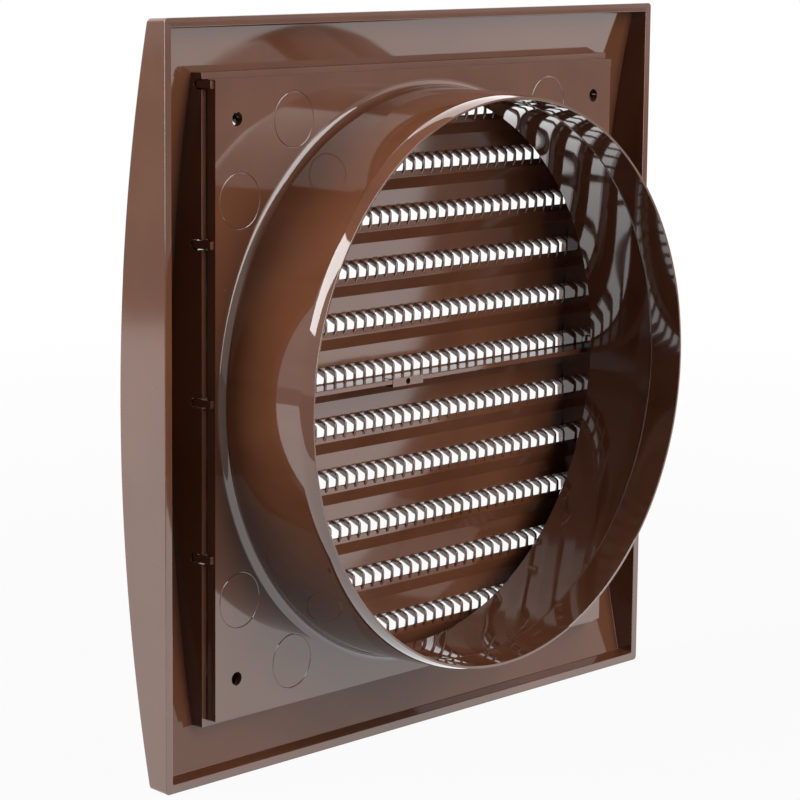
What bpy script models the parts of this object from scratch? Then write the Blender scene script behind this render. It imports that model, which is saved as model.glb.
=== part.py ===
"""Exhaust hood vent for a 150 mm duct: louvred weather cover over a wall plate with a duct spigot.

Sizes are in millimetres and become metres in mm(). The origin is the centre of the cover in the
plane of its rear rim. +Z is up, the louvres face -Y, and the spigot points to +Y, into the wall.
"""

import math

import bmesh
import bpy
from mathutils import Vector

# Duct spigot: its root radius is the size that the rest of the vent is drawn from
OUT_ROOT_R = 75.15
OUT_TAPER_R = OUT_ROOT_R - 0.45
OUT_END_R = OUT_ROOT_R - 1.22
BORE_ROOT_R = OUT_ROOT_R - 2.05
BORE_WAIST_R = OUT_ROOT_R - 2.35
BORE_END_R = OUT_ROOT_R - 1.78
SPIGOT_END_Y = 29.0
WAIST_Y = SPIGOT_END_Y - 9.5
TAPER_Y = SPIGOT_END_Y - 4.0
END_CHAMFER = 0.3
ROOT_FILLET = 1.8
FILLET_TIP = 0.12
SPIGOT_SEGMENTS = 80
HOLE_SEGMENTS = 20

# Wall plate, with a turned-down edge
PLATE_HALF_X = OUT_ROOT_R + 2.35
PLATE_HALF_Z = PLATE_HALF_X + 2.35
PLATE_REAR_Y = -0.5
PLATE_THICK = 1.8
PLATE_CORNER = 1.5
EDGE_FRONT_Y = PLATE_REAR_Y - 2.8
EDGE_WALL = 1.9
SCREW_SPACING = 2.0 * (PLATE_HALF_X - 7.5)
SCREW_HOLE_R = 1.75

# Clip frame: the square frame that stands inside the cover, in front of the plate's edge
SEAT_GAP = 0.3
CLIP_WALL = 2.1
CLIP_HALF_X = PLATE_HALF_X + 1.6
CLIP_HALF_Z = PLATE_HALF_Z + 1.55
CLIP_REAR_Y = EDGE_FRONT_Y - SEAT_GAP
SLOT_WIDTH = 2.5
SLOT_LENGTH = 4.0
SLOT_MIDDLE_Z = 0.5
SLOT_SPACING = 39.1
CORNER_SLOT_DROP = 2.8
CORNER_SLOT_LENGTH = 2.8

# Lugs of the plate that seat in those slots
LUG_WIDTH = SLOT_WIDTH - 2.0 * SEAT_GAP
LUG_OUT = CLIP_HALF_X - 0.5
LUG_ROOT = 1.7
LUG_SHORT = 0.4

# Weather cover: a square shell whose front is bowed from top to bottom
COVER_HALF = CLIP_HALF_X + 15.9
COVER_WALL = 2.1
COVER_DRAFT = 0.9
BOW_DEPTH = 17.24
BOW_EDGE_DEPTH = 6.54
SIDE_CORNER = 2.5
INNER_CORNER = 1.0
BOW_STEPS = 20

# Louvre field in the front of the cover
FIELD_HALF_X = CLIP_HALF_X - CLIP_WALL
FIELD_TOP = CLIP_HALF_Z - 11.1
FIELD_BOTTOM = CLIP_WALL - CLIP_HALF_Z - 0.1

# Louvre blades, measured from the edge where the front slope meets the ledge
BLADE_COUNT = 11
OPENING = 3.71
BLADE_PITCH = (FIELD_TOP - FIELD_BOTTOM + 0.34) / BLADE_COUNT
EDGE_BEHIND_FRONT = 3.8
LEDGE_RUN = 2.5
LEDGE_DROP = 1.43
UNDERCUT = 4.0
LIP_END_DROP = BLADE_PITCH - OPENING
LIP_THICK_TOP = 2.3
LIP_THICK_END = 1.7

# Insect bars, one row on every blade
BAR_PITCH = 3.8
BAR_WIDTH = 0.95
BAR_STANDING = OPENING - 1.1
BAR_REAR_STANDING = OPENING - 0.5
BAR_REACH_UP = OPENING + 0.6
BAR_TIP_HEIGHT = 0.8

# Stiffening web on the middle blade
WEB_REAR_Y = CLIP_REAR_Y - 2.5
WEB_THICK = 1.6
PAD_HALF_X = 6.0
PAD_LENGTH = 3.0
PAD_RAISE = 0.15
PAD_THICK = 2.2
PAD_HOLE_R = 0.85
PAD_HOLE_DEPTH = 2.0

BROWN = (0.129, 0.063, 0.042, 1.0)


def mm(*values):
    return Vector([value / 1000.0 for value in values])


def clear_scene():
    for obj in list(bpy.data.objects):
        bpy.data.objects.remove(obj, do_unlink=True)


def plastic(name):
    material = bpy.data.materials.new(name)
    material.use_nodes = True
    shader = material.node_tree.nodes["Principled BSDF"]
    shader.inputs["Base Color"].default_value = BROWN
    shader.inputs["Roughness"].default_value = 0.28
    shader.inputs["IOR"].default_value = 1.5
    return material


def mesh_object(name, points, faces, node=True):
    """A closed mesh from points in millimetres, its faces turned outwards."""
    mesh = bpy.data.meshes.new(name)
    mesh.from_pydata([mm(*point) for point in points], [], faces)
    work = bmesh.new()
    work.from_mesh(mesh)
    bmesh.ops.recalc_face_normals(work, faces=work.faces)
    work.to_mesh(mesh)
    work.free()
    obj = bpy.data.objects.new(name, mesh)
    bpy.context.scene.collection.objects.link(obj)
    if node:
        mesh.materials.append(plastic(name + "_plastic"))
    else:
        obj.hide_render = True
        obj.display_type = "WIRE"
    return obj


def loft(rings):
    """Points and faces of rings of equal length, joined in order and capped at both ends."""
    count = len(rings[0])
    points = [point for ring in rings for point in ring]
    faces = [tuple(range(count - 1, -1, -1))]
    for level in range(len(rings) - 1):
        base = level * count
        for i in range(count):
            j = (i + 1) % count
            faces.append((base + i, base + j, base + count + j, base + count + i))
    last = (len(rings) - 1) * count
    faces.append(tuple(range(last, last + count)))
    return points, faces


def rounded_square(half_x, half_z, radius, steps=4):
    """(x, z) corners of a rectangle with rounded corners."""
    ring = []
    for sign_x, sign_z, start in ((1, 1, 0), (-1, 1, 90), (-1, -1, 180), (1, -1, 270)):
        cx = sign_x * (half_x - radius)
        cz = sign_z * (half_z - radius)
        for i in range(steps + 1):
            angle = math.radians(start + 90.0 * i / steps)
            ring.append((cx + radius * math.cos(angle), cz + radius * math.sin(angle)))
    return ring


def prism_along_y(name, ring, y0, y1, node=False):
    points, faces = loft([[(x, y, z) for x, z in ring] for y in (y0, y1)])
    return mesh_object(name, points, faces, node)


def box(name, low, high, node=False):
    ring = [(low[0], low[2]), (high[0], low[2]), (high[0], high[2]), (low[0], high[2])]
    return prism_along_y(name, ring, low[1], high[1], node)


def boolean(target, tools, operation):
    """Joins or cuts with all the tools in one step, which keeps thin neighbouring faces sound."""
    group = bpy.data.collections.new(target.name + "_" + operation.lower())
    for tool in tools:
        group.objects.link(tool)
    modifier = target.modifiers.new(group.name, "BOOLEAN")
    modifier.operation = operation
    modifier.solver = "EXACT"
    modifier.operand_type = "COLLECTION"
    modifier.collection = group


def front_y(z):
    """The bowed front face of the cover at height z, an arc through its middle and both edges."""
    sag = BOW_DEPTH - BOW_EDGE_DEPTH
    radius = (COVER_HALF**2 + sag**2) / (2.0 * sag)
    return radius - math.sqrt(radius**2 - z * z) - BOW_DEPTH


def slots():
    """(height, tip y) of the slots in each side of the clip frame, top one first."""
    places = [(CLIP_HALF_Z - CORNER_SLOT_DROP, CLIP_REAR_Y - CORNER_SLOT_LENGTH)]
    for step in (1, 0, -1):
        places.append((SLOT_MIDDLE_Z + SLOT_SPACING * step, CLIP_REAR_Y - SLOT_LENGTH))
    return places


def bowed_block(name, half_rear, half_front, corner, rear_y, inset, reach, node=False):
    """A drafted square block, open side at rear_y, whose front follows the bow set back by inset."""
    deep = -BOW_DEPTH - 3.0
    ratio = (deep - rear_y) / (-BOW_DEPTH - rear_y)
    half_deep = half_rear + (half_front - half_rear) * ratio
    rings = []
    for half, y in ((half_rear, rear_y), (half_deep, deep)):
        rings.append([(x, y, z) for x, z in rounded_square(half, half, corner)])
    points, faces = loft(rings)
    block = mesh_object(name, points, faces, node)
    outline = [(reach, -BOW_DEPTH - 12.0), (-reach, -BOW_DEPTH - 12.0)]
    for i in range(BOW_STEPS + 1):
        z = -reach + 2.0 * reach * i / BOW_STEPS
        outline.append((z, front_y(z) + inset))
    rings = []
    for x in (-reach, reach):
        rings.append([(x, y, z) for z, y in outline])
    points, faces = loft(rings)
    cutter = mesh_object(name + "_bow", points, faces, False)
    boolean(block, [cutter], "DIFFERENCE")
    return block


def make_cover_shell():
    rear = COVER_HALF
    front = COVER_HALF - COVER_DRAFT
    reach = COVER_HALF + 10.0
    shell = bowed_block("cover_shell", rear, front, SIDE_CORNER, 0.0, 0.0, reach, True)
    rear -= COVER_WALL
    front -= COVER_WALL
    cavity = bowed_block("cover_cavity", rear, front, INNER_CORNER, 0.6, COVER_WALL, reach)
    field = box(
        "louvre_field",
        (-FIELD_HALF_X, -BOW_DEPTH - 8.0, FIELD_BOTTOM),
        (FIELD_HALF_X, 4.0, FIELD_TOP),
    )
    boolean(shell, [cavity], "DIFFERENCE")
    boolean(shell, [field], "DIFFERENCE")
    return shell


def make_clip_frame():
    """The inner frame: open at both ends, its front edge following the bow, slots in both sides."""
    frame = box(
        "clip_frame",
        (-CLIP_HALF_X, -BOW_DEPTH - 3.0, -CLIP_HALF_Z),
        (CLIP_HALF_X, CLIP_REAR_Y, CLIP_HALF_Z),
        True,
    )
    reach = CLIP_HALF_Z + 10.0
    outline = [(reach, -BOW_DEPTH - 12.0), (-reach, -BOW_DEPTH - 12.0)]
    for i in range(BOW_STEPS + 1):
        z = -reach + 2.0 * reach * i / BOW_STEPS
        outline.append((z, front_y(z) + COVER_WALL + SEAT_GAP))
    points, faces = loft([[(x, y, z) for z, y in outline] for x in (-reach, reach)])
    cutters = [mesh_object("clip_bow", points, faces, False)]
    inside = box(
        "clip_inside",
        (-CLIP_HALF_X + CLIP_WALL, -BOW_DEPTH - 9.0, -CLIP_HALF_Z + CLIP_WALL),
        (CLIP_HALF_X - CLIP_WALL, 4.0, CLIP_HALF_Z - CLIP_WALL),
    )
    cutters.append(inside)
    for side in (1, -1):
        for number, (height, tip_y) in enumerate(slots()):
            ring = slot_outline(SLOT_WIDTH / 2.0, tip_y, 4.0, height)
            x0 = side * (CLIP_HALF_X - CLIP_WALL - 2.0)
            x1 = side * (CLIP_HALF_X + 1.0)
            points, faces = loft([[(x, y, z) for y, z in ring] for x in (x0, x1)])
            name = "slot_%s_%d" % ("left" if side > 0 else "right", number)
            cutters.append(mesh_object(name, points, faces, False))
    boolean(frame, cutters, "DIFFERENCE")
    return frame


def slot_outline(radius, tip_y, open_y, height, steps=6):
    """(y, z) corners of a slot, or of the lug that fits it, with a round end at tip_y."""
    ring = [(open_y, height - radius)]
    for i in range(steps + 1):
        angle = math.radians(-90.0 - 180.0 * i / steps)
        ring.append((tip_y + radius + radius * math.cos(angle), height + radius * math.sin(angle)))
    ring.append((open_y, height + radius))
    return ring


def blade_outline(edge_z, web):
    """(y, z) corners of a blade. The first two are the ends of the strip that carries the bars."""
    edge_y = front_y(edge_z) + EDGE_BEHIND_FRONT
    slope_z = edge_z - EDGE_BEHIND_FRONT
    lip_z = edge_z - LIP_END_DROP
    root_z = edge_z - LEDGE_DROP - UNDERCUT
    outline = [(edge_y, edge_z)]
    outline.append((edge_y - BAR_WIDTH, edge_z - BAR_WIDTH))
    outline.append((front_y(slope_z), slope_z))
    middle_z = (slope_z + lip_z) / 2.0
    outline.append((front_y(middle_z), middle_z))
    outline.append((front_y(lip_z), lip_z))
    outline.append((front_y(lip_z) + LIP_THICK_END, lip_z))
    outline.append((front_y(root_z) + LIP_THICK_TOP, root_z))
    if web:
        under_z = edge_z - WEB_THICK
        outline.append((edge_y + LEDGE_RUN - (WEB_THICK - LEDGE_DROP), under_z))
        outline.append((WEB_REAR_Y, under_z))
        outline.append((WEB_REAR_Y, edge_z))
    else:
        outline.append((edge_y + LEDGE_RUN, edge_z - LEDGE_DROP))
    return outline


def bar_outline(edge_z, shell_above):
    """(y, z) corners of one insect bar above the blade, from its rear foot round to its front foot."""
    edge_y = front_y(edge_z) + EDGE_BEHIND_FRONT
    tip_z = edge_z + BAR_REACH_UP
    if shell_above:
        target_y = front_y(tip_z) + COVER_WALL
    else:
        upper_edge = edge_z + BLADE_PITCH
        lip_z = upper_edge - LIP_END_DROP
        root_z = upper_edge - LEDGE_DROP - UNDERCUT
        share = (tip_z - lip_z) / (root_z - lip_z)
        low = front_y(lip_z) + LIP_THICK_END
        high = front_y(root_z) + LIP_THICK_TOP
        target_y = low + (high - low) * share
    tip_y = target_y + SEAT_GAP
    front_foot = edge_y - BAR_WIDTH
    return [
        (edge_y, edge_z),
        (edge_y, edge_z + BAR_REAR_STANDING),
        (tip_y, tip_z),
        (tip_y, tip_z - BAR_TIP_HEIGHT),
        (front_foot, edge_z + BAR_STANDING),
        (front_foot, edge_z - BAR_WIDTH),
    ]


def bar_centres():
    count = int(2.0 * FIELD_HALF_X / BAR_PITCH)
    first = -(count - 1) * BAR_PITCH / 2.0
    return [first + i * BAR_PITCH for i in range(count)]


def make_blade(number):
    """One blade with its row of insect bars, built as a single closed mesh."""
    edge_z = FIELD_TOP - OPENING - BLADE_PITCH * (number - 1)
    web = number == (BLADE_COUNT + 1) // 2
    outline = blade_outline(edge_z, web)
    if number == BLADE_COUNT:
        outline[4] = (front_y(FIELD_BOTTOM), FIELD_BOTTOM + SEAT_GAP)
        outline[5] = (front_y(FIELD_BOTTOM) + LIP_THICK_END, FIELD_BOTTOM + SEAT_GAP)
    bar = bar_outline(edge_z, number == 1)
    half = FIELD_HALF_X - SEAT_GAP
    points = []

    def add(x, y, z):
        points.append((x, y, z))
        return len(points) - 1

    left = [add(-half, y, z) for y, z in outline]
    right = [add(half, y, z) for y, z in outline]
    faces = [tuple(left), tuple(reversed(right))]
    count = len(outline)
    rear_line = [left[0]]
    front_line = [left[1]]
    for centre in bar_centres():
        x0 = centre - BAR_WIDTH / 2.0
        x1 = centre + BAR_WIDTH / 2.0
        low = [add(x0, y, z) for y, z in bar]
        high = [add(x1, y, z) for y, z in bar]
        faces.append(tuple(reversed(low)))
        faces.append(tuple(high))
        for i in range(len(bar) - 1):
            faces.append((low[i], low[i + 1], high[i + 1], high[i]))
        faces.append((rear_line[-1], low[0], low[-1], front_line[-1]))
        rear_line += [low[0], high[0]]
        front_line += [low[-1], high[-1]]
    faces.append((rear_line[-1], right[0], right[1], front_line[-1]))
    rear_line.append(right[0])
    front_line.append(right[1])
    faces.append(tuple(front_line) + (right[2], left[2]))
    faces.append(tuple(reversed(rear_line)) + (left[count - 1], right[count - 1]))
    for i in range(2, count - 1):
        faces.append((left[i], left[i + 1], right[i + 1], right[i]))
    blade = mesh_object("louvre_blade_%02d" % number, points, faces, True)
    if web:
        add_web_pad(blade, edge_z)
    return blade


def add_web_pad(blade, edge_z):
    """The thicker pad in the middle of the web's rear edge, with its small round hole."""
    top_z = edge_z + PAD_RAISE
    rear_y = WEB_REAR_Y + PAD_RAISE
    pad = box(
        "web_pad",
        (-PAD_HALF_X, WEB_REAR_Y - PAD_LENGTH, top_z - PAD_THICK),
        (PAD_HALF_X, rear_y, top_z),
    )
    boolean(blade, [pad], "UNION")
    middle_z = top_z - PAD_THICK / 2.0
    hole = circle_prism(
        "web_hole", 0.0, middle_z, PAD_HOLE_R, rear_y - PAD_HOLE_DEPTH, rear_y + 3.0, HOLE_SEGMENTS
    )
    boolean(blade, [hole], "DIFFERENCE")


def circle_prism(name, cx, cz, radius, y0, y1, segments):
    ring = []
    for i in range(segments):
        angle = 2.0 * math.pi * i / segments
        ring.append((cx + radius * math.cos(angle), cz + radius * math.sin(angle)))
    return prism_along_y(name, ring, y0, y1)


def make_root_fillet():
    """The concave fillet that rises from the plate round the root of the spigot."""
    tip_r = OUT_ROOT_R + SEAT_GAP + FILLET_TIP
    tip_y = PLATE_REAR_Y + ROOT_FILLET
    profile = [(tip_r - 1.5, PLATE_REAR_Y - 0.9), (tip_r - 1.5, tip_y)]
    for turn in (0.0, 30.0, 60.0):
        angle = math.radians(180.0 + turn)
        profile.append(
            (
                tip_r + ROOT_FILLET + ROOT_FILLET * math.cos(angle),
                tip_y + ROOT_FILLET * math.sin(angle),
            )
        )
    profile.append((tip_r + ROOT_FILLET, PLATE_REAR_Y - 0.05))
    profile.append((tip_r + ROOT_FILLET, PLATE_REAR_Y - 0.9))
    return turned("root_fillet", profile, False)


def make_wall_plate():
    ring = rounded_square(PLATE_HALF_X, PLATE_HALF_Z, PLATE_CORNER)
    plate = prism_along_y("wall_plate", ring, EDGE_FRONT_Y, PLATE_REAR_Y, True)
    recess = box(
        "plate_recess",
        (-PLATE_HALF_X + EDGE_WALL, EDGE_FRONT_Y - 5.0, -PLATE_HALF_Z + EDGE_WALL),
        (PLATE_HALF_X - EDGE_WALL, PLATE_REAR_Y - PLATE_THICK, PLATE_HALF_Z - EDGE_WALL),
    )
    added = [make_root_fillet()]
    for side in (1, -1):
        for number, (height, tip_y) in enumerate(slots()):
            lug_tip = tip_y + LUG_SHORT
            outline = slot_outline(LUG_WIDTH / 2.0, lug_tip, PLATE_REAR_Y - 0.6, height)
            x0 = side * (PLATE_HALF_X - LUG_ROOT)
            x1 = side * LUG_OUT
            points, faces = loft([[(x, y, z) for y, z in outline] for x in (x0, x1)])
            name = "lug_%s_%d" % ("left" if side > 0 else "right", number)
            added.append(mesh_object(name, points, faces, False))
    bore_r = OUT_ROOT_R + SEAT_GAP
    cutters = [recess, circle_prism("plate_bore", 0.0, 0.0, bore_r, -9.0, 5.0, SPIGOT_SEGMENTS)]
    reach = SCREW_SPACING / 2.0
    for number, (sx, sz) in enumerate(((1, 1), (-1, 1), (-1, -1), (1, -1))):
        name = "screw_hole_%d" % number
        x, z = sx * reach, sz * reach
        cutters.append(circle_prism(name, x, z, SCREW_HOLE_R, -9.0, 5.0, HOLE_SEGMENTS))
    boolean(plate, added, "UNION")
    boolean(plate, cutters, "DIFFERENCE")
    return plate


def turned(name, profile, node):
    """A closed ring turned about the Y axis from (radius, y) corners."""
    count = len(profile)
    points = []
    faces = []
    for step in range(SPIGOT_SEGMENTS):
        angle = 2.0 * math.pi * step / SPIGOT_SEGMENTS
        for radius, y in profile:
            points.append((radius * math.cos(angle), y, radius * math.sin(angle)))
        base = step * count
        after = ((step + 1) % SPIGOT_SEGMENTS) * count
        for i in range(count):
            j = (i + 1) % count
            faces.append((base + i, base + j, after + j, after + i))
    return mesh_object(name, points, faces, node)


def make_duct_spigot():
    """The collar, turned from one profile: bore, end lip, lead-in taper and straight root."""
    inner_end_y = PLATE_REAR_Y - PLATE_THICK
    profile = [
        (BORE_ROOT_R, inner_end_y),
        (BORE_WAIST_R, WAIST_Y),
        (BORE_END_R, SPIGOT_END_Y),
        (OUT_END_R - END_CHAMFER / 2.0, SPIGOT_END_Y),
        (OUT_END_R, SPIGOT_END_Y - END_CHAMFER),
        (OUT_TAPER_R, TAPER_Y),
        (OUT_ROOT_R, PLATE_REAR_Y),
        (OUT_ROOT_R, inner_end_y),
    ]
    return turned("duct_spigot", profile, True)


clear_scene()
make_cover_shell()
make_clip_frame()
for blade_number in range(1, BLADE_COUNT + 1):
    make_blade(blade_number)
make_wall_plate()
make_duct_spigot()
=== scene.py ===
"""Looks of the exhaust hood vent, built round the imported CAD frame.

The vent is two injection mouldings in glossy brown ABS: a louvred weather cover, and a wall plate
with a round duct spigot. Sizes of the part are in millimetres and become metres in mm(); those of
the floor and the lamps are in metres. The origin is the centre of the cover in the plane of its
rear rim, with +Z up, the louvres facing -Y and the spigot pointing to +Y.
"""

import math

import bmesh
import bpy
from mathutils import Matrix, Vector


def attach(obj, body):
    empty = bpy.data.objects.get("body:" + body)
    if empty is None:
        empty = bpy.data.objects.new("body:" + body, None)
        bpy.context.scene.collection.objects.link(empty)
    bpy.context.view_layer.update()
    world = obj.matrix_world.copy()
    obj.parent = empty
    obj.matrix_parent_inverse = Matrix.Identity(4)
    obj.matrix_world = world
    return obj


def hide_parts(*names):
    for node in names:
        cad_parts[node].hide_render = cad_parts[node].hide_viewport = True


# Camera, fitted to the photograph; angles in degrees
VIEW_AZIMUTH = 131.59
VIEW_ELEVATION = 9.35
VIEW_ROLL = 0.57
VIEW_DISTANCE = 796.5
VIEW_TARGET = (9.95, 0.0, -6.15)
LENS = 137.0
SENSOR = 36.0

# Duct spigot
ROOT_R = 75.15
TAPER_R = 74.7
END_R = 73.93
BORE_ROOT_R = 73.1
BORE_WAIST_R = 72.8
BORE_END_R = 73.3
WAIST_Y = 19.5
TAPER_Y = 25.0
SPIGOT_END_Y = 29.0
ROOT_FILLET = 2.2
ROOT_SUNK = 0.1
FILLET_SUNK = 0.01
COLLAR_PROUD = 0.06
COLLAR_CHAMFER = 0.3
LEAD_IN_SHARES = (0.25, 0.5, 0.75, 1.0)
FILLET_STEPS = 8
TURNED_STEPS = 192
# Corners of the parting bead in the bore, as (inwards, along Y) from the waist
WAIST_BEAD = ((0.0, -0.3), (0.105, -0.18), (0.15, 0.0), (0.09, 0.18), (-0.02, 0.3))
# Corners of the end lip, as (outwards, along Y) from the end of the bore and of the outside
BORE_LIP = ((-0.06, -0.12), (0.06, 0.0))
OUTER_LIP = ((-0.2, 0.0), (-0.06, -0.06), (0.0, -0.25))

# Wall plate
PLATE_HALF_X = 77.5
PLATE_HALF_Z = 79.85
PLATE_REAR_Y = -0.5
PLATE_THICK = 1.8
PLATE_CORNER = 0.4
PLATE_EDGE_R = 0.15
PLATE_BORE_R = ROOT_R - 1.0
EDGE_FRONT_Y = -3.3
EDGE_WALL = 1.9
SCREW_REACH = 70.0
SCREW_HOLE_R = 1.75
SCREW_HOLE_STEPS = 40
LUG_WIDTH = 1.9
LUG_OUT = 78.6
LUG_ROOT = 75.8
LUG_SHORT = 0.4
LUG_END_DEPTH = 0.6

# Ejector pin marks: shallow rings on the back of the plate
MARK_R = 6.95
MARK_WIDTH = 0.32
MARK_DEPTH = 0.12
MARK_STEPS = 64
MARK_PLACES = ((50.0, 69.0), (69.0, 50.0))

# Clip frame
CLIP_HALF_X = 79.1
CLIP_HALF_Z = 81.4
CLIP_WALL = 2.1
CLIP_REAR_Y = -3.6
CLIP_SUNK = 0.6
CLIP_EDGE_R = 0.18
SLOT_WIDTH = 2.5
# Height and front end of each slot, the same on both sides
SLOTS = ((78.6, -6.4), (39.6, -7.6), (0.5, -7.6), (-38.6, -7.6))

# Weather cover
COVER_HALF = 95.0
COVER_DRAFT = 0.9
COVER_WALL = 2.35
COVER_EDGE_R = 0.25
CAVITY_REAR_Y = 0.6
BOW_DEPTH = 17.24
BOW_EDGE_DEPTH = 6.54
BOW_STEPS = 72
SIDE_CORNER = 1.1
INNER_CORNER = 0.5
FRONT_ROUND = 0.8
FRONT_EDGES_Y = -2.0
FRONT_EDGE_ANGLE = 45.0
FIELD_HALF_X = 77.0
FIELD_TOP = 70.3
FIELD_BOTTOM = -79.4

# Blanks reach in front of the bow, and cutting tools run past what they cut
BLANK_FRONT_Y = -BOW_DEPTH - 3.0
BOW_TOOL_FRONT_Y = -BOW_DEPTH - 12.0
BOW_TOOL_PAST_SIDES = 10.0
FIELD_TOOL_FRONT_Y = -BOW_DEPTH - 8.0
CLIP_TOOL_FRONT_Y = -BOW_DEPTH - 9.0
COVER_TOOL_REAR_Y = 4.0
SLOT_TOOL_PAST_INSIDE = 2.0
SLOT_TOOL_PAST_OUTSIDE = 1.0
RECESS_TOOL_FRONT_Y = EDGE_FRONT_Y - 5.0
HOLE_TOOL_FRONT_Y = -9.0
HOLE_TOOL_REAR_Y = 5.0
MARK_TOOL_PAST = 0.2
PAD_HOLE_TOOL_PAST = 3.0

# Louvre blades
BLADE_COUNT = 11
OPENING = 3.71
BLADE_PITCH = 13.64
BLADE_SUNK = 0.05
EDGE_BEHIND_FRONT = 3.8
LEDGE_RUN = 0.05
LEDGE_DROP = 2.2
ROOT_DROP = 5.43
LIP_END_DROP = 9.93
LIP_HOOK = 1.25
LIP_HOOK_FLAT = 0.5
LIP_THICK_TOP = 2.3
LIP_THICK_END = 1.7
LAST_LIP_GAP = 0.1
# How far down the front face its two middle corners lie, as shares
FACE_SHARES = (0.35, 0.7)
# Radii of the blade's corners, from its edge down the front, round the lip and back up
EDGE_R = 0.3
WEB_EDGE_R = 0.05
SLOPE_END_R = 0.5
FACE_END_R = 0.25
HOOK_R = 0.15
LIP_END_R = 0.25
LIP_ROOT_R = 0.6
LEDGE_END_R = 0.22

# Insect bars
BAR_PITCH = 3.8
BAR_COUNT = 40
BAR_WIDTH = 0.8
BAR_ROUND = 0.3
BAR_BEHIND_EDGE = 0.3
BAR_SIDE_TURNS = (90.0, 60.0, 30.0, 0.0)
BAR_TIP_LIMIT = 1.5
# Outline of a bar from the side, as (distance to the rear, height above the blade's edge, side
# rounding): the post is measured from its own middle, the head from the front face at its height
BAR_FOOT = ((-0.5, -0.9, 0.1), (-0.3, -1.75, 0.1), (0.4, -0.3, 0.2))
BAR_REAR = ((0.4, 1.0, 0.2), (0.4, 2.1, 0.2), (0.24, 2.65, 0.2), (-0.3, 3.1, 0.2), (-1.2, 3.5, 0.2))
BAR_HEAD = ((1.9, 3.95, 0.2), (1.4, 4.2, 0.2), (0.8, 3.5, 0.5), (0.7, 2.8, 0.9))
BAR_FRONT = ((-0.3, 1.4, 0.5), (-0.3, 0.6, 0.36))

# Web of the middle blade, with its pad and hole
WEB_STEP = 0.28
WEB_STEP_BACK = 0.15
WEB_REAR_Y = -6.1
WEB_THICK = 1.6
WEB_UNDER_R = 0.3
WEB_REAR_R = 0.2
PAD_HALF_X = 6.0
PAD_LENGTH = 3.0
PAD_RAISE = 0.12
PAD_THICK = 2.2
PAD_HOLE_R = 0.85
PAD_HOLE_DEPTH = 2.0
PAD_HOLE_STEPS = 32

# Floor, and light table just above it, in metres
FLOOR_HALF = 3.0
FLOOR_GAP = 0.0002
TABLE_GAP = 0.0001
TABLE_FRONT = 0.19
TABLE_DEPTH = 1.2
TABLE_WIDTH = 1.8

# Skin of the mouldings. ABS has an IOR near 1.54; a little more gives the photograph's reflections
ABS_IOR = 1.6
CLOUDS_LOW = 0.3
CLOUDS_HIGH = 0.7
DUST_SPACING = 6.0
DUST_CORE_R = 0.12
DUST_FADE_R = 0.27
DUST_SHARE = 0.25
GRAIN_SPACING = 0.5
GRAIN_LIFT = 0.0006

# Colours, as sRGB hex
BROWN_ABS = "5B3725"
BROWN_ABS_LIGHT = "603B28"
BROWN_ABS_DEEP = "563322"
DUST = "8C7468"
FLOOR_GREY = "727170"

# Whiteness of the floor near the part, its strength in the gloss, and where it fades to plain white
FLOOR_WHITENESS = 0.95
FLOOR_MIRRORED = 0.58
FLOOR_FADE_START = 0.25
FLOOR_FADE_END = 0.8

# What the gloss sees round the part: white up to the first height, the dimmer overhead above the
# second, as the height of the direction's end on a unit ball
WHITE_UP_TO = 0.5
OVERHEAD_FROM = 0.75
OVERHEAD = 0.25
WHITE = (1.0, 1.0, 1.0, 1.0)


def mm(*values):
    """Millimetres to metres: a number for one value, a vector for more."""
    if len(values) == 1:
        return values[0] / 1000.0
    return Vector([value / 1000.0 for value in values])


def linear(code, alpha=1.0):
    """An sRGB hex colour as the linear RGBA that the shaders take."""
    channels = []
    for i in (0, 2, 4):
        value = int(code[i : i + 2], 16) / 255.0
        channels.append(value / 12.92 if value <= 0.04045 else ((value + 0.055) / 1.055) ** 2.4)
    return (*channels, alpha)


def add_node(tree, kind, settings=None, links=None):
    """Adds a node, sets its properties and sockets, and links sockets of earlier nodes to it."""
    node = tree.nodes.new(kind)
    for key, value in (settings or {}).items():
        if isinstance(key, str) and hasattr(node, key):
            setattr(node, key, value)
        else:
            node.inputs[key].default_value = value
    for key, socket in (links or {}).items():
        tree.links.new(socket, node.inputs[key])
    return node


def in_scene(name, data):
    obj = bpy.data.objects.new(name, data)
    bpy.context.scene.collection.objects.link(obj)
    return obj


def new_tree(name):
    material = bpy.data.materials.new(name)
    material.use_nodes = True
    material.node_tree.nodes.clear()
    return material, material.node_tree


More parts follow.
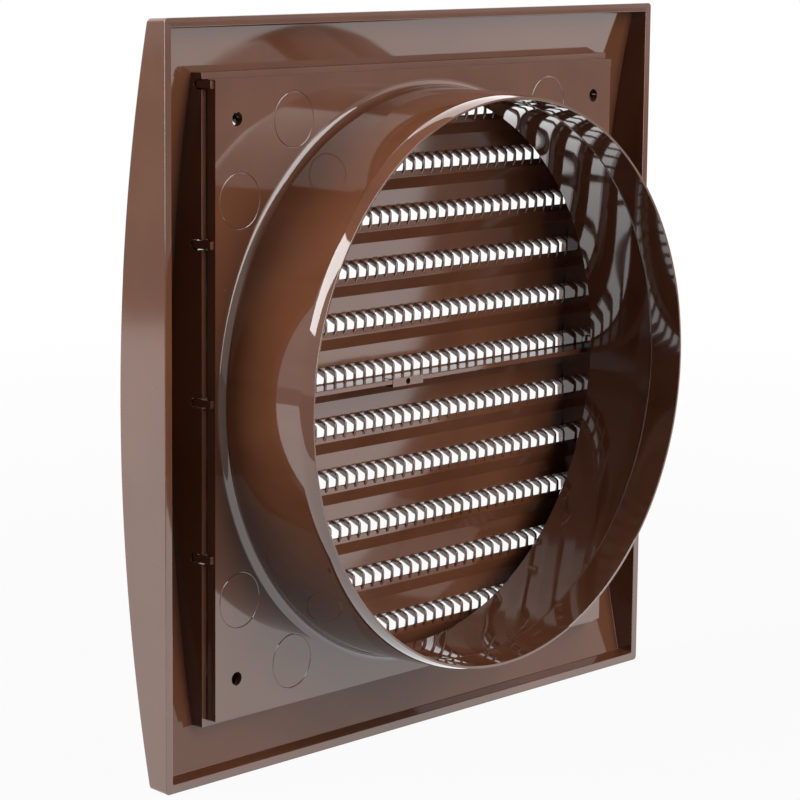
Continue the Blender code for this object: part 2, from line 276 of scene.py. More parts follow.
def moulded_abs(name, roughness, spread, flow_mm, wave_lift, streak=(1.0, 1.0, 1.0)):
    """Injection-moulded ABS in a polished tool: a deep brown, glossy skin with clear reflections.

    Flow clouds about flow_mm across shift the brown and the gloss a little, and a slow waviness of
    the same size lifts wave_lift mm, so reflections bend as on real mouldings. A very fine tool
    grain and sparse light dust specks sit on top, both drawn near 0.5 mm, coarser than they are, so
    that they show in a render. streak scales the clouds along each axis, into draw marks.
    """
    material, tree = new_tree(name)
    place = add_node(tree, "ShaderNodeTexCoord")
    mapped = add_node(
        tree, "ShaderNodeMapping", {"Scale": streak}, {"Vector": place.outputs["Object"]}
    )
    clouds = add_node(
        tree,
        "ShaderNodeTexNoise",
        {"Scale": 1.0 / mm(flow_mm), "Detail": 3.0, "Roughness": 0.5, "Distortion": 0.3},
        {"Vector": mapped.outputs["Vector"]},
    )
    colour = add_node(tree, "ShaderNodeValToRGB", None, {"Fac": clouds.outputs["Fac"]})
    stops = colour.color_ramp.elements
    stops[0].position = CLOUDS_LOW
    stops[0].color = linear(BROWN_ABS_DEEP)
    stops[1].position = CLOUDS_HIGH
    stops[1].color = linear(BROWN_ABS_LIGHT)
    middle = stops.new((CLOUDS_LOW + CLOUDS_HIGH) / 2.0)
    middle.color = linear(BROWN_ABS)
    specks = add_node(
        tree,
        "ShaderNodeTexVoronoi",
        {"Scale": 1.0 / mm(DUST_SPACING), "Randomness": 1.0},
        {"Vector": place.outputs["Object"]},
    )
    near = add_node(
        tree,
        "ShaderNodeMapRange",
        {
            "From Min": DUST_CORE_R / DUST_SPACING,
            "From Max": DUST_FADE_R / DUST_SPACING,
            "To Min": DUST_SHARE,
            "To Max": 0.0,
        },
        {"Value": specks.outputs["Distance"]},
    )
    dusty = add_node(
        tree,
        "ShaderNodeMix",
        {"data_type": "RGBA", 7: linear(DUST)},
        {0: near.outputs["Result"], 6: colour.outputs["Color"]},
    )
    gloss = add_node(
        tree,
        "ShaderNodeMapRange",
        {
            "From Min": CLOUDS_LOW,
            "From Max": CLOUDS_HIGH,
            "To Min": roughness - spread,
            "To Max": roughness + spread,
        },
        {"Value": clouds.outputs["Fac"]},
    )
    grain = add_node(
        tree,
        "ShaderNodeTexNoise",
        {"Scale": 1.0 / mm(GRAIN_SPACING), "Detail": 2.0, "Roughness": 0.6},
        {"Vector": place.outputs["Object"]},
    )
    fine = add_node(
        tree,
        "ShaderNodeBump",
        {"Strength": 1.0, "Distance": mm(GRAIN_LIFT)},
        {"Height": grain.outputs["Fac"]},
    )
    wavy = add_node(
        tree,
        "ShaderNodeBump",
        {"Strength": 1.0, "Distance": mm(wave_lift)},
        {"Height": clouds.outputs["Fac"], "Normal": fine.outputs["Normal"]},
    )
    shader = add_node(
        tree,
        "ShaderNodeBsdfPrincipled",
        {"IOR": ABS_IOR, "Metallic": 0.0},
        {
            "Base Color": dusty.outputs[2],
            "Roughness": gloss.outputs["Result"],
            "Normal": wavy.outputs["Normal"],
        },
    )
    add_node(tree, "ShaderNodeOutputMaterial", None, {"Surface": shader.outputs["BSDF"]})
    return material


def front_y(z):
    """The bowed front face of the cover at height z."""
    sag = BOW_DEPTH - BOW_EDGE_DEPTH
    radius = (COVER_HALF**2 + sag**2) / (2.0 * sag)
    return radius - math.sqrt(radius**2 - z * z) - BOW_DEPTH


def solid(name, points, faces):
    """A mesh object from points in millimetres, its faces turned outwards."""
    mesh = bpy.data.meshes.new(name)
    mesh.from_pydata([mm(*point) for point in points], [], faces)
    work = bmesh.new()
    work.from_mesh(mesh)
    bmesh.ops.recalc_face_normals(work, faces=work.faces)
    work.to_mesh(mesh)
    work.free()
    return in_scene(name, mesh)


def keep_modifiers(obj):
    """Turns an object's modifiers into its mesh."""
    graph = bpy.context.evaluated_depsgraph_get()
    made = bpy.data.meshes.new_from_object(obj.evaluated_get(graph))
    old = obj.data
    obj.modifiers.clear()
    obj.data = made
    bpy.data.meshes.remove(old)


def cut(target, tools, operation="DIFFERENCE"):
    """Cuts or joins with all the tools in one step, then removes them."""
    group = bpy.data.collections.new("cutters")
    for tool in tools:
        group.objects.link(tool)
    modifier = target.modifiers.new("cut", "BOOLEAN")
    modifier.operation = operation
    modifier.solver = "EXACT"
    modifier.operand_type = "COLLECTION"
    modifier.collection = group
    bpy.context.view_layer.update()
    keep_modifiers(target)
    for tool in tools:
        bpy.data.objects.remove(tool, do_unlink=True)
    bpy.data.collections.remove(group)


def loft(rings):
    """Points and faces of a closed solid through rings with the same number of points."""
    count = len(rings[0])
    points = [point for ring in rings for point in ring]
    faces = []
    for level in range(len(rings) - 1):
        base = level * count
        for i in range(count):
            j = (i + 1) % count
            faces.append((base + i, base + j, base + count + j, base + count + i))
    last = (len(rings) - 1) * count
    faces.append(tuple(range(count - 1, -1, -1)))
    faces.append(tuple(range(last, last + count)))
    return points, faces


def rounded_rectangle(half_x, half_z, radius, steps=8):
    ring = []
    for sign_x, sign_z, start in ((1, 1, 0), (-1, 1, 90), (-1, -1, 180), (1, -1, 270)):
        cx = sign_x * (half_x - radius)
        cz = sign_z * (half_z - radius)
        for i in range(steps + 1):
            angle = math.radians(start + 90.0 * i / steps)
            ring.append((cx + radius * math.cos(angle), cz + radius * math.sin(angle)))
    return ring


def along_y(name, ring, y0, y1):
    return solid(name, *loft([[(x, y, z) for x, z in ring] for y in (y0, y1)]))


def along_x(name, ring, x0, x1):
    return solid(name, *loft([[(x, y, z) for y, z in ring] for x in (x0, x1)]))


def block(name, low, high):
    """A box between two opposite corners."""
    ring = [(low[0], low[2]), (high[0], low[2]), (high[0], high[2]), (low[0], high[2])]
    return along_y(name, ring, low[1], high[1])


def circle(cx, cz, radius, steps):
    turns = [2.0 * math.pi * i / steps for i in range(steps)]
    return [(cx + radius * math.cos(turn), cz + radius * math.sin(turn)) for turn in turns]


def turned(name, profile, cx=0.0, cz=0.0, steps=TURNED_STEPS):
    """A closed ring turned about an axis along Y from (radius, y) corners."""
    count = len(profile)
    points = []
    faces = []
    for step in range(steps):
        angle = 2.0 * math.pi * step / steps
        for radius, y in profile:
            points.append((cx + radius * math.cos(angle), y, cz + radius * math.sin(angle)))
        base = step * count
        after = ((step + 1) % steps) * count
        for i in range(count):
            j = (i + 1) % count
            faces.append((base + i, base + j, after + j, after + i))
    return solid(name, points, faces)


def fillet_corners(outline, steps=4):
    """A closed outline from (y, z, radius) corners; a radius of 0 keeps a corner sharp."""
    rounded = []
    count = len(outline)
    corners = [Vector(corner[:2]) for corner in outline]
    for i in range(count):
        corner = corners[i]
        radius = outline[i][2]
        if radius <= 0.0:
            rounded.append(tuple(corner))
            continue
        back = (corners[i - 1] - corner).normalized()
        ahead = (corners[(i + 1) % count] - corner).normalized()
        half = back.angle(ahead) / 2.0
        setback = radius / math.tan(half)
        centre = corner + (back + ahead).normalized() * (radius / math.sin(half))
        start = corner + back * setback - centre
        end = corner + ahead * setback - centre
        sweep = start.angle_signed(end)
        for step in range(steps + 1):
            turn = -sweep * step / steps
            spun = Vector(
                (
                    start.x * math.cos(turn) - start.y * math.sin(turn),
                    start.x * math.sin(turn) + start.y * math.cos(turn),
                )
            )
            rounded.append(tuple(centre + spun))
    return rounded


def soften(obj, width, segments=2, limit=35.0):
    """Moulded edges: a small radius wherever two faces meet sharply."""
    bevel = obj.modifiers.new("moulded_edges", "BEVEL")
    bevel.width = mm(width)
    bevel.segments = segments
    bevel.limit_method = "ANGLE"
    bevel.angle_limit = math.radians(limit)
    bevel.miter_outer = "MITER_ARC"
    bevel.use_clamp_overlap = True
    keep_modifiers(obj)


def smooth(obj, limit=32.0):
    """Smooth shading with creases where faces meet at more than the limit."""
    work = bmesh.new()
    work.from_mesh(obj.data)
    for face in work.faces:
        face.smooth = True
    for edge in work.edges:
        sharp = len(edge.link_faces) != 2 or edge.calc_face_angle(0.0) > math.radians(limit)
        edge.smooth = not sharp
    work.to_mesh(obj.data)
    work.free()


def even_shading(obj):
    """Keeps the large faces flat in shading and puts the turn of the light into the small radii."""
    weigh = obj.modifiers.new("even_shading", "WEIGHTED_NORMAL")
    weigh.mode = "FACE_AREA"
    weigh.weight = 50
    weigh.keep_sharp = True
    keep_modifiers(obj)


def finish_piece(obj, material, body, nodes):
    """Gives a piece its shading, its material and its place on a body of the frame."""
    even_shading(obj)
    obj.data.materials.clear()
    obj.data.materials.append(material)
    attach(obj, body)
    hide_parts(*nodes)
    return obj


def bow_cutter(name, inset, reach):
    """Everything in front of the bowed face, set back by inset."""
    outline = [(BOW_TOOL_FRONT_Y, reach), (BOW_TOOL_FRONT_Y, -reach)]
    for i in range(BOW_STEPS + 1):
        z = -reach + 2.0 * reach * i / BOW_STEPS
        outline.append((front_y(z) + inset, z))
    return along_x(name, outline, -reach, reach)


def drafted_block(name, half_rear, half_bow, corner, rear_y):
    """A square block with draft, half_bow wide to each side at the front of the bow."""
    ratio = (BLANK_FRONT_Y - rear_y) / (-BOW_DEPTH - rear_y)
    half_front = half_rear + (half_bow - half_rear) * ratio
    rings = []
    for half, y in ((half_rear, rear_y), (half_front, BLANK_FRONT_Y)):
        rings.append([(x, y, z) for x, z in rounded_rectangle(half, half, corner)])
    return solid(name, *loft(rings))


def round_front(obj):
    """Rounds the edge where the bowed front meets the side walls."""
    work = bmesh.new()
    work.from_mesh(obj.data)
    picked = []
    for edge in work.edges:
        rear_y = max(vert.co.y for vert in edge.verts)
        sharp = edge.calc_face_angle(0.0) > math.radians(FRONT_EDGE_ANGLE)
        if sharp and rear_y < mm(FRONT_EDGES_Y):
            picked.append(edge)
    bmesh.ops.bevel(
        work,
        geom=picked,
        offset=mm(FRONT_ROUND),
        segments=4,
        profile=0.5,
        affect="EDGES",
        clamp_overlap=True,
    )
    work.to_mesh(obj.data)
    work.free()


def make_cover_shell(material):
    """Side walls and bowed front; the opening's top edge lies where a blade's hook would end."""
    reach = COVER_HALF + BOW_TOOL_PAST_SIDES
    shell = drafted_block(
        "cover_moulding", COVER_HALF, COVER_HALF - COVER_DRAFT, SIDE_CORNER, 0.0
    )
    cut(shell, [bow_cutter("front_bow", 0.0, reach)])
    round_front(shell)
    inner = COVER_HALF - COVER_WALL
    cavity = drafted_block("cavity", inner, inner - COVER_DRAFT, INNER_CORNER, CAVITY_REAR_Y)
    cut(cavity, [bow_cutter("cavity_bow", COVER_WALL, reach)])
    cut(shell, [cavity])
    field = block(
        "field",
        (-FIELD_HALF_X, FIELD_TOOL_FRONT_Y, FIELD_BOTTOM),
        (FIELD_HALF_X, COVER_TOOL_REAR_Y, FIELD_TOP - LIP_HOOK),
    )
    cut(shell, [field])
    soften(shell, COVER_EDGE_R)
    smooth(shell)
    return finish_piece(shell, material, "cover", ["cover_shell"])


def slot_outline(radius, tip_y, open_y, height, steps=12):
    """(y, z) round a slot or a lug: a round end at the tip, square at the other end."""
    ring = [(open_y, height - radius)]
    for i in range(steps + 1):
        angle = math.radians(-90.0 - 180.0 * i / steps)
        ring.append((tip_y + radius + radius * math.cos(angle), height + radius * math.sin(angle)))
    ring.append((open_y, height + radius))
    return ring


def make_clip_frame(material):
    """A square frame that is sunk into the bowed front, with slots that are open to the rear."""
    clip = block(
        "clip_frame_moulding",
        (-CLIP_HALF_X, BLANK_FRONT_Y, -CLIP_HALF_Z),
        (CLIP_HALF_X, CLIP_REAR_Y, CLIP_HALF_Z),
    )
    inside = block(
        "inside",
        (-CLIP_HALF_X + CLIP_WALL, CLIP_TOOL_FRONT_Y, -CLIP_HALF_Z + CLIP_WALL),
        (CLIP_HALF_X - CLIP_WALL, COVER_TOOL_REAR_Y, CLIP_HALF_Z - CLIP_WALL),
    )
    reach = CLIP_HALF_Z + BOW_TOOL_PAST_SIDES
    tools = [bow_cutter("clip_bow", COVER_WALL - CLIP_SUNK, reach), inside]
    for side in (1, -1):
        for height, tip_y in SLOTS:
            ring = slot_outline(SLOT_WIDTH / 2.0, tip_y, COVER_TOOL_REAR_Y, height)
            x0 = side * (CLIP_HALF_X - CLIP_WALL - SLOT_TOOL_PAST_INSIDE)
            x1 = side * (CLIP_HALF_X + SLOT_TOOL_PAST_OUTSIDE)
            tools.append(along_x("slot", ring, x0, x1))
    cut(clip, tools)
    soften(clip, CLIP_EDGE_R)
    smooth(clip)
    return finish_piece(clip, material, "cover", ["clip_frame"])


def blade_outline(edge_z, web, last):
    """(y, z) round a blade: weather slope, front face, hooked lip, and the ledge or web behind."""
    edge_y = front_y(edge_z) + EDGE_BEHIND_FRONT
    slope_z = edge_z - EDGE_BEHIND_FRONT
    lip_z = FIELD_BOTTOM + LAST_LIP_GAP if last else edge_z - LIP_END_DROP
    root_z = edge_z - ROOT_DROP
    hook_z = lip_z if last else lip_z - LIP_HOOK
    outline = [
        (edge_y, edge_z, WEB_EDGE_R if web else EDGE_R),
        (front_y(slope_z), slope_z, SLOPE_END_R),
    ]
    for share in FACE_SHARES:
        z = slope_z + (hook_z - slope_z) * share
        outline.append((front_y(z), z, 0.0))
    outline.append((front_y(hook_z), hook_z, FACE_END_R))
    if not last:
        outline.append((front_y(hook_z) + LIP_HOOK_FLAT, hook_z, HOOK_R))
    outline += [
        (front_y(lip_z) + LIP_THICK_END, lip_z, LIP_END_R),
        (front_y(root_z) + LIP_THICK_TOP, root_z, LIP_ROOT_R),
    ]
    if web:
        under_z = edge_z - WEB_THICK
        top_z = edge_z - WEB_STEP
        outline += [
            (edge_y + LEDGE_RUN, under_z, WEB_UNDER_R),
            (WEB_REAR_Y, under_z, WEB_REAR_R),
            (WEB_REAR_Y, top_z, WEB_REAR_R),
            (edge_y + WEB_STEP_BACK, top_z, 0.0),
            (edge_y + WEB_STEP_BACK, edge_z, 0.0),
        ]
    else:
        outline.append((edge_y + LEDGE_RUN, edge_z - LEDGE_DROP, LEDGE_END_R))
    return fillet_corners(outline)


def bar_outline(edge_z):
    """(y, z, side rounding) round an insect bar seen from the side: its foot tapers out on the
    ledge of its blade, and its head is a bracket that runs into the lip of the blade above."""
    post_y = front_y(edge_z) + EDGE_BEHIND_FRONT + BAR_BEHIND_EDGE
    outline = []
    for behind, height, rounding in BAR_FOOT + BAR_REAR:
        outline.append((post_y + behind, edge_z + height, rounding))
    for behind, height, rounding in BAR_HEAD:
        outline.append((front_y(edge_z + height) + behind, edge_z + height, rounding))
    for behind, height, rounding in BAR_FRONT:
        outline.append((post_y + behind, edge_z + height, rounding))
    return outline


def drawn_in(outline, share):
    """The outline moved inwards by a share of each corner's rounding, limited at sharp tips."""
    count = len(outline)
    corners = [Vector(corner[:2]) for corner in outline]
    area = 0.0
    for i in range(count):
        area += corners[i - 1].x * corners[i].y - corners[i].x * corners[i - 1].y
    turn = 1.0 if area > 0.0 else -1.0
    moved = []
    for i in range(count):
        arriving = (corners[i] - corners[i - 1]).normalized()
        leaving = (corners[(i + 1) % count] - corners[i]).normalized()
        inwards = Vector((-arriving.y - leaving.y, arriving.x + leaving.x)) * turn
        inwards.normalize()
        square = Vector((-arriving.y, arriving.x)) * turn
        inset = outline[i][2] * share
        step = inset / max(inwards.dot(square), 1.0 / BAR_TIP_LIMIT)
        moved.append(corners[i] + inwards * step)
    return moved


def bar_rings(outline):
    """Slices of one bar across X about X = 0, with both sides rounded."""
    rings = []
    for side, turns in ((-1, BAR_SIDE_TURNS), (1, reversed(BAR_SIDE_TURNS))):
        for degrees in turns:
            turn = math.radians(degrees)
            x = side * (BAR_WIDTH / 2.0 - BAR_ROUND + BAR_ROUND * math.sin(turn))
            rings.append([(x, y, z) for y, z in drawn_in(outline, 1.0 - math.cos(turn))])
    return rings


def make_blade(number, material):
    """One blade with its row of insect bars, which run into it and into the lip above."""
    last = number == BLADE_COUNT
    web = number == (BLADE_COUNT + 1) // 2
    edge_z = FIELD_TOP - OPENING - BLADE_PITCH * (number - 1)
    reach = FIELD_HALF_X + BLADE_SUNK
    outline = blade_outline(edge_z, web, last)
    blade = along_x("louvre_%02d" % number, outline, -reach, reach)
    if web:
        add_web_pad(blade, edge_z - WEB_STEP)
    smooth(blade, limit=40.0)
    rings = bar_rings(bar_outline(edge_z))
    points = []
    faces = []
    start = -(BAR_COUNT - 1) * BAR_PITCH / 2.0
    for index in range(BAR_COUNT):
        shift = start + index * BAR_PITCH
        bar_points, bar_faces = loft(rings)
        base = len(points)
        points += [(x + shift, y, z) for x, y, z in bar_points]
        faces += [tuple(base + corner for corner in face) for face in bar_faces]
    bars = solid("bars_%02d" % number, points, faces)
    smooth(bars, limit=60.0)
    join_into(blade, bars)
    return finish_piece(blade, material, "cover", ["louvre_blade_%02d" % number])


def join_into(target, other):
    """Puts a second mesh into a piece as it is, without a cut."""
    work = bmesh.new()
    work.from_mesh(target.data)
    work.from_mesh(other.data)
    work.to_mesh(target.data)
    work.free()
    bpy.data.objects.remove(other, do_unlink=True)


def add_web_pad(blade, web_z):
    """A raised pad in the middle of the web's rear edge, with its small blind hole."""
    top_z = web_z + PAD_RAISE
    rear_y = WEB_REAR_Y + PAD_RAISE
    pad = block(
        "pad",
        (-PAD_HALF_X, WEB_REAR_Y - PAD_LENGTH, top_z - PAD_THICK),
        (PAD_HALF_X, rear_y, top_z),
    )
    cut(blade, [pad], "UNION")
    middle_z = top_z - PAD_THICK / 2.0
    ring = circle(0.0, middle_z, PAD_HOLE_R, PAD_HOLE_STEPS)
    hole = along_y("hole", ring, rear_y - PAD_HOLE_DEPTH, rear_y + PAD_HOLE_TOOL_PAST)
    cut(blade, [hole])


def mark_tool(x, z):
    """Cuts a shallow V-shaped ring into the back of the plate."""
    half = MARK_WIDTH / 2.0
    profile = [
        (MARK_R - half, PLATE_REAR_Y + MARK_TOOL_PAST),
        (MARK_R - half, PLATE_REAR_Y),
        (MARK_R, PLATE_REAR_Y - MARK_DEPTH),
        (MARK_R + half, PLATE_REAR_Y),
        (MARK_R + half, PLATE_REAR_Y + MARK_TOOL_PAST),
    ]
    return turned("mark", profile, x, z, MARK_STEPS)


def make_wall_plate(material):
    """A square plate with turned-down edge, bore, screw holes, lugs and ejector pin marks."""
    plate = along_y(
        "wall_plate_moulding",
        rounded_rectangle(PLATE_HALF_X, PLATE_HALF_Z, PLATE_CORNER),
        EDGE_FRONT_Y,
        PLATE_REAR_Y,
    )
    lugs = []
    lug_end_y = PLATE_REAR_Y - LUG_END_DEPTH
    for side in (1, -1):
        for height, tip_y in SLOTS:
            ring = slot_outline(LUG_WIDTH / 2.0, tip_y + LUG_SHORT, lug_end_y, height)
            lugs.append(along_x("lug", ring, side * LUG_ROOT, side * LUG_OUT))
    cut(plate, lugs, "UNION")
    bore = circle(0.0, 0.0, PLATE_BORE_R, TURNED_STEPS)
    tools = [
        block(
            "recess",
            (-PLATE_HALF_X + EDGE_WALL, RECESS_TOOL_FRONT_Y, -PLATE_HALF_Z + EDGE_WALL),
            (PLATE_HALF_X - EDGE_WALL, PLATE_REAR_Y - PLATE_THICK, PLATE_HALF_Z - EDGE_WALL),
        ),
        along_y("bore", bore, HOLE_TOOL_FRONT_Y, HOLE_TOOL_REAR_Y),
    ]
    for sign_x in (1, -1):
        for sign_z in (1, -1):
            place = (sign_x * SCREW_REACH, sign_z * SCREW_REACH)
            hole = circle(*place, SCREW_HOLE_R, SCREW_HOLE_STEPS)
            tools.append(along_y("screw_hole", hole, HOLE_TOOL_FRONT_Y, HOLE_TOOL_REAR_Y))
            for x, z in MARK_PLACES:
                tools.append(mark_tool(sign_x * x, sign_z * z))
    cut(plate, tools)
    soften(plate, PLATE_EDGE_R, limit=50.0)
    smooth(plate, limit=20.0)
    return finish_piece(plate, material, "wall_unit", ["wall_plate"])


def make_spigot(material):
    """The collar in one turn: bore with its parting bead, end lip, lead-in and root fillet."""
    inner_end_y = PLATE_REAR_Y - PLATE_THICK - COLLAR_PROUD
    profile = [(BORE_ROOT_R, inner_end_y + COLLAR_CHAMFER)]
    profile += [(BORE_WAIST_R - inwards, WAIST_Y + along) for inwards, along in WAIST_BEAD]
    profile += [(BORE_END_R + outwards, SPIGOT_END_Y + along) for outwards, along in BORE_LIP]
    profile += [(END_R + outwards, SPIGOT_END_Y + along) for outwards, along in OUTER_LIP]
    lead_in_y = profile[-1][1]
    for share in LEAD_IN_SHARES:
        bulge = math.sin(share * math.pi / 2.0)
        y = lead_in_y - (lead_in_y - TAPER_Y) * share
        profile.append((END_R + (TAPER_R - END_R) * bulge, y))
    fillet_y = PLATE_REAR_Y + ROOT_FILLET - FILLET_SUNK
    for i in range(FILLET_STEPS + 1):
        angle = math.radians(180.0 + 90.0 * i / FILLET_STEPS)
        profile.append(
            (
                ROOT_R + ROOT_FILLET + ROOT_FILLET * math.cos(angle),
                fillet_y + ROOT_FILLET * math.sin(angle),
            )
        )
    profile += [
        (ROOT_R + ROOT_FILLET, PLATE_REAR_Y - ROOT_SUNK),
        (ROOT_R, PLATE_REAR_Y - ROOT_SUNK),
        (ROOT_R, inner_end_y),
        (BORE_ROOT_R + COLLAR_CHAMFER, inner_end_y),
    ]
    spigot = turned("spigot_moulding", profile)
    smooth(spigot, limit=40.0)
    return finish_piece(spigot, material, "wall_unit", ["duct_spigot"])


def make_camera():
    """The photograph's camera, which is rolled a little about its own line of sight."""
    a = math.radians(VIEW_AZIMUTH)
    e = math.radians(VIEW_ELEVATION)
    roll = math.radians(VIEW_ROLL)
    back = Vector((math.sin(a) * math.cos(e), -math.cos(a) * math.cos(e), math.sin(e)))
    side = Vector((0.0, 0.0, 1.0)).cross(back).normalized()
    up = back.cross(side)
    turned_side = side * math.cos(roll) + up * math.sin(roll)
    turned_up = up * math.cos(roll) - side * math.sin(roll)
    data = bpy.data.cameras.new("photo_camera")
    data.lens = LENS
    data.sensor_width = SENSOR
    data.clip_start = 0.05
    data.clip_end = 50.0
    camera = in_scene("photo_camera", data)
    matrix = camera.matrix_world.copy()
    for row in range(3):
        matrix[row][0] = turned_side[row]
        matrix[row][1] = turned_up[row]
        matrix[row][2] = back[row]
        matrix[row][3] = mm(VIEW_TARGET[row]) + mm(back[row] * VIEW_DISTANCE)
    camera.matrix_world = matrix
    bpy.context.scene.camera = camera


def seen_ray(tree):
    """1 for the rays that look for the background: camera, glossy and transmission rays."""
    ray = add_node(tree, "ShaderNodeLightPath")
    both = add_node(
        tree,
        "ShaderNodeMath",
        {"operation": "MAXIMUM"},
        {0: ray.outputs["Is Camera Ray"], 1: ray.outputs["Is Glossy Ray"]},
    )
    return add_node(
        tree,
        "ShaderNodeMath",
        {"operation": "MAXIMUM"},
        {0: both.outputs["Value"], 1: ray.outputs["Is Transmission Ray"]},
    )


def make_floor():
    """A floor that keeps a faint shadow round the part and turns plain white further out. Its own
    grey lets little light bounce into the part; what is seen of it is whitened."""
    z = -mm(COVER_HALF) - FLOOR_GAP
    signs = ((-1, -1), (1, -1), (1, 1), (-1, 1))
    mesh = bpy.data.meshes.new("floor")
    corners = [(sign_x * FLOOR_HALF, sign_y * FLOOR_HALF, z) for sign_x, sign_y in signs]
    mesh.from_pydata(corners, [], [(0, 1, 2, 3)])
    floor = in_scene("floor", mesh)
    material, tree = new_tree("matt_white_floor")
    matt = add_node(tree, "ShaderNodeBsdfDiffuse", {"Color": linear(FLOOR_GREY)})
    ray = add_node(tree, "ShaderNodeLightPath")
    strength = add_node(
        tree,
        "ShaderNodeMapRange",
        {"To Min": FLOOR_MIRRORED, "To Max": 1.0},
        {"Value": ray.outputs["Is Camera Ray"]},
    )
    white = add_node(
        tree,
        "ShaderNodeEmission",
        {"Color": WHITE},
        {"Strength": strength.outputs["Result"]},
    )
    place = add_node(tree, "ShaderNodeTexCoord")
    away = add_node(
        tree,
        "ShaderNodeVectorMath",
        {"operation": "LENGTH"},
        {0: place.outputs["Object"]},
    )
    whiteness = add_node(
        tree,
        "ShaderNodeMapRange",
        {
            "From Min": FLOOR_FADE_START,
            "From Max": FLOOR_FADE_END,
            "To Min": FLOOR_WHITENESS,
            "To Max": 1.0,
        },
        {"Value": away.outputs["Value"]},
    )
    seen = add_node(
        tree,
        "ShaderNodeMath",
        {"operation": "MULTIPLY"},
        {0: seen_ray(tree).outputs["Value"], 1: whiteness.outputs["Result"]},
    )
    mixed = add_node(
        tree,
        "ShaderNodeMixShader",
        None,
        {0: seen.outputs["Value"], 1: matt.outputs["BSDF"], 2: white.outputs["Emission"]},
    )
    add_node(tree, "ShaderNodeOutputMaterial", None, {"Surface": mixed.outputs["Shader"]})
    mesh.materials.append(material)


def make_world():
    """White for the camera. Gloss sees the same white near the horizon and a dimmer studio above,
    and all other rays find it black, so that the lamps alone light the part."""
    world = bpy.data.worlds.new("studio")
    bpy.context.scene.world = world
    world.use_nodes = True
    tree = world.node_tree
    tree.nodes.clear()
    ray = add_node(tree, "ShaderNodeLightPath")
    look = add_node(tree, "ShaderNodeTexCoord")
    split = add_node(tree, "ShaderNodeSeparateXYZ", None, {"Vector": look.outputs["Generated"]})
    height = add_node(
        tree,
        "ShaderNodeMapRange",
        {
            "From Min": WHITE_UP_TO,
            "From Max": OVERHEAD_FROM,
            "To Min": 1.0,
            "To Max": OVERHEAD,
        },
        {"Value": split.outputs["Z"]},
    )
    level = add_node(
        tree,
        "ShaderNodeMath",
        {"operation": "MAXIMUM"},
        {0: height.outputs["Result"], 1: ray.outputs["Is Camera Ray"]},
    )
    black = add_node(tree, "ShaderNodeBackground", {"Color": WHITE, "Strength": 0.0})
    white = add_node(
        tree,
        "ShaderNodeBackground",
        {"Color": WHITE},
        {"Strength": level.outputs["Value"]},
    )
    mixed = add_node(
        tree,
        "ShaderNodeMixShader",
        None,
        {
            0: seen_ray(tree).outputs["Value"],
            1: black.outputs["Background"],
            2: white.outputs["Background"],
        },
    )
    add_node(tree, "ShaderNodeOutputWorld", None, {"Surface": mixed.outputs["Shader"]})


def area_lamp(name, width, height, radiance):
    """A rectangular lamp with the same radiance all over, which the camera doesn't see."""
    data = bpy.data.lights.new(name, "AREA")
    data.shape = "RECTANGLE"
    data.size = width
    data.size_y = height
    data.energy = radiance * math.pi * width * height
    lamp = in_scene(name, data)
    lamp.visible_camera = False
    return lamp


def make_softbox(name, toward, width, height, radiance, mirrored=True):
    """A lamp one metre away that faces the part; a fill lamp isn't mirrored in the gloss."""
    lamp = area_lamp(name, width, height, radiance)
    lamp.location = Vector(toward).normalized()
    lamp.rotation_mode = "QUATERNION"
    lamp.rotation_quaternion = (-lamp.location).to_track_quat("-Z", "Y")
    lamp.visible_glossy = mirrored


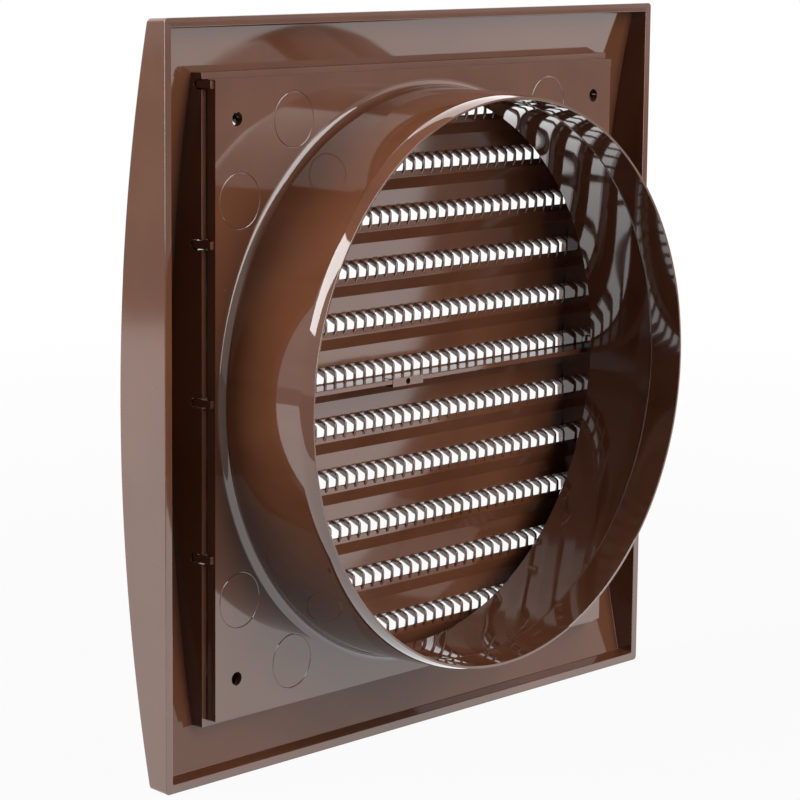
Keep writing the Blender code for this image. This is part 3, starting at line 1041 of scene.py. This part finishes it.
def make_light_table(radiance):
    """A bright table under and behind the part that only the gloss shows; the side towards the
    photo's camera stays dark."""
    a = math.radians(VIEW_AZIMUTH)
    to_camera = Vector((math.sin(a), -math.cos(a), 0.0))
    centre = to_camera * (TABLE_FRONT - TABLE_DEPTH / 2.0)
    lamp = area_lamp("light_table", TABLE_WIDTH, TABLE_DEPTH, radiance)
    lamp.location = (centre.x, centre.y, -mm(COVER_HALF) - TABLE_GAP)
    lamp.rotation_euler = (math.pi, 0.0, a)
    lamp.visible_diffuse = False


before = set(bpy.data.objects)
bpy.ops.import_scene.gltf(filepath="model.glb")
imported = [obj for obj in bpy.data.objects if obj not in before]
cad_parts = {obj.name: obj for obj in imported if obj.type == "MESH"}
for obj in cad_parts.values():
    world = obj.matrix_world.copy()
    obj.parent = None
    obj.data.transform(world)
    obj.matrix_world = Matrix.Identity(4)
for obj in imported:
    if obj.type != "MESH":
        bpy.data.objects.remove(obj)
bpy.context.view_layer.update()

# Name, roughness, its spread, size of the flow clouds and height of the waviness, both in mm
cover_abs = moulded_abs("cover_glossy_abs", 0.07, 0.02, 30.0, 0.004)
grille_abs = moulded_abs("louvre_glossy_abs", 0.13, 0.03, 18.0, 0.003)
plate_abs = moulded_abs("wall_plate_glossy_abs", 0.06, 0.02, 26.0, 0.004)
spigot_abs = moulded_abs("spigot_glossy_abs", 0.04, 0.01, 20.0, 0.004, streak=(1.6, 0.5, 1.6))

make_cover_shell(cover_abs)
make_clip_frame(cover_abs)
for blade_number in range(1, BLADE_COUNT + 1):
    make_blade(blade_number, grille_abs)
make_wall_plate(plate_abs)
make_spigot(spigot_abs)

make_camera()
make_floor()
make_world()
make_light_table(radiance=1.57)
# Name, direction from the part, width and height in metres, radiance
make_softbox("softbox_key", (-0.18, 0.89, 0.42), 0.66, 1.13, 6.3)
make_softbox("softbox_left", (0.76, -0.30, 0.57), 0.34, 0.6, 11.0)
make_softbox("fill_left", (0.70, -0.20, 0.68), 0.6, 0.6, 8.0, mirrored=False)
make_softbox("softbox_right", (-0.72, 0.40, 0.56), 0.6, 0.5, 1.0)
make_softbox("softbox_far_side", (-0.56, -0.46, 0.68), 0.6, 0.55, 2.4)
make_softbox("softbox_front", (0.1, -0.75, 0.65), 0.9, 0.6, 1.5)

bpy.context.scene.view_settings.view_transform = "Standard"
